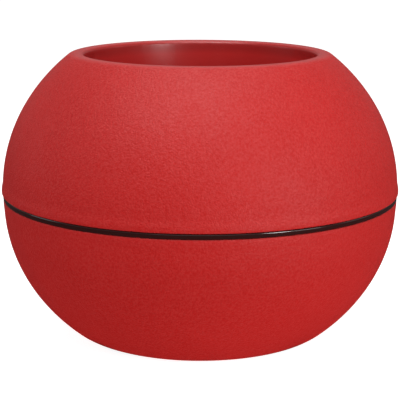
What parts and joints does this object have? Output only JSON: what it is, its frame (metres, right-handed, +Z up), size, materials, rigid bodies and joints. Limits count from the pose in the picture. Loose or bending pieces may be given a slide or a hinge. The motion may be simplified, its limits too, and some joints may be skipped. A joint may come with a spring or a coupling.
{
  "type": "self-watering ball planter",
  "caption": "Round moulded planter, its upper and lower shells joined by a dark trim band, with a lift-out inner pot, water reservoir, filler and float gauge.",
  "frame": {"origin": "on the ground, at the middle of the foot, under the ball's upright axis", "axes": "+Z up; -Y is the front, where the front handle lies; the filler is at +X and the water gauge at -X"},
  "size_m": [0.4022, 0.4022, 0.2866],
  "materials": {
    "red_shell": "fine grained matt outside, smooth inside the mouth",
    "black_band": "polished",
    "black_rubber": "matt",
    "black_pot": "satin with fine vertical drag lines",
    "grey_plastic": "satin",
    "handle_plastic": "satin, polished by hands on the grip",
    "cap_plastic": "satin gloss",
    "pin_steel": "turned",
    "clear_plastic": "clear",
    "float_foam": "closed-cell foam",
    "rod_white": "satin",
    "tip_red": "gloss"
  },
  "bodies": {
    "ball": {"upper_shell": "red_shell", "lower_shell": "red_shell", "joint_band": "black_band", "foot_pads": "black_rubber"},
    "plug": {"drain_plug": "black_rubber"},
    "pot": {"inner_pot": "black_pot", "separator_plate": "grey_plastic", "wick_cups": "grey_plastic", "fill_tube": "grey_plastic", "fill_cap_pin": "pin_steel", "gauge_tube": "grey_plastic", "gauge_window": "clear_plastic", "overflow_tube": "grey_plastic", "overflow_seal": "black_rubber"},
    "front_handle": {"handle_front": "handle_plastic"},
    "back_handle": {"handle_back": "handle_plastic"},
    "filler_cap": {"fill_cap": "cap_plastic"},
    "float": {"gauge_float": "float_foam", "gauge_rod": "rod_white", "gauge_tip": "tip_red"}
  },
  "joints": [
    {"name": "pot_lift", "type": "slide", "parent": "ball", "child": "pot", "axis": [0, 0, 1], "range_m": [0, 0.29]},
    {"name": "front_handle_fold", "type": "hinge", "parent": "pot", "child": "front_handle", "pos_m": [0, -0.079, 0.24665], "axis": [-1, 0, 0], "range_deg": [0, 90]},
    {"name": "back_handle_fold", "type": "hinge", "parent": "pot", "child": "back_handle", "pos_m": [0, 0.079, 0.24665], "axis": [1, 0, 0], "range_deg": [0, 90]},
    {"name": "fill_cap_open", "type": "hinge", "parent": "pot", "child": "filler_cap", "pos_m": [0.0925, 0, 0.2436], "axis": [0, 1, 0], "range_deg": [0, 110]},
    {"name": "gauge_float_rise", "type": "slide", "parent": "pot", "child": "float", "axis": [0, 0, 1], "range_m": [0, 0.034]},
    {"name": "drain_plug_pull", "type": "slide", "parent": "ball", "child": "plug", "axis": [0, 0, -1], "range_m": [0, 0.03]}
  ]
}
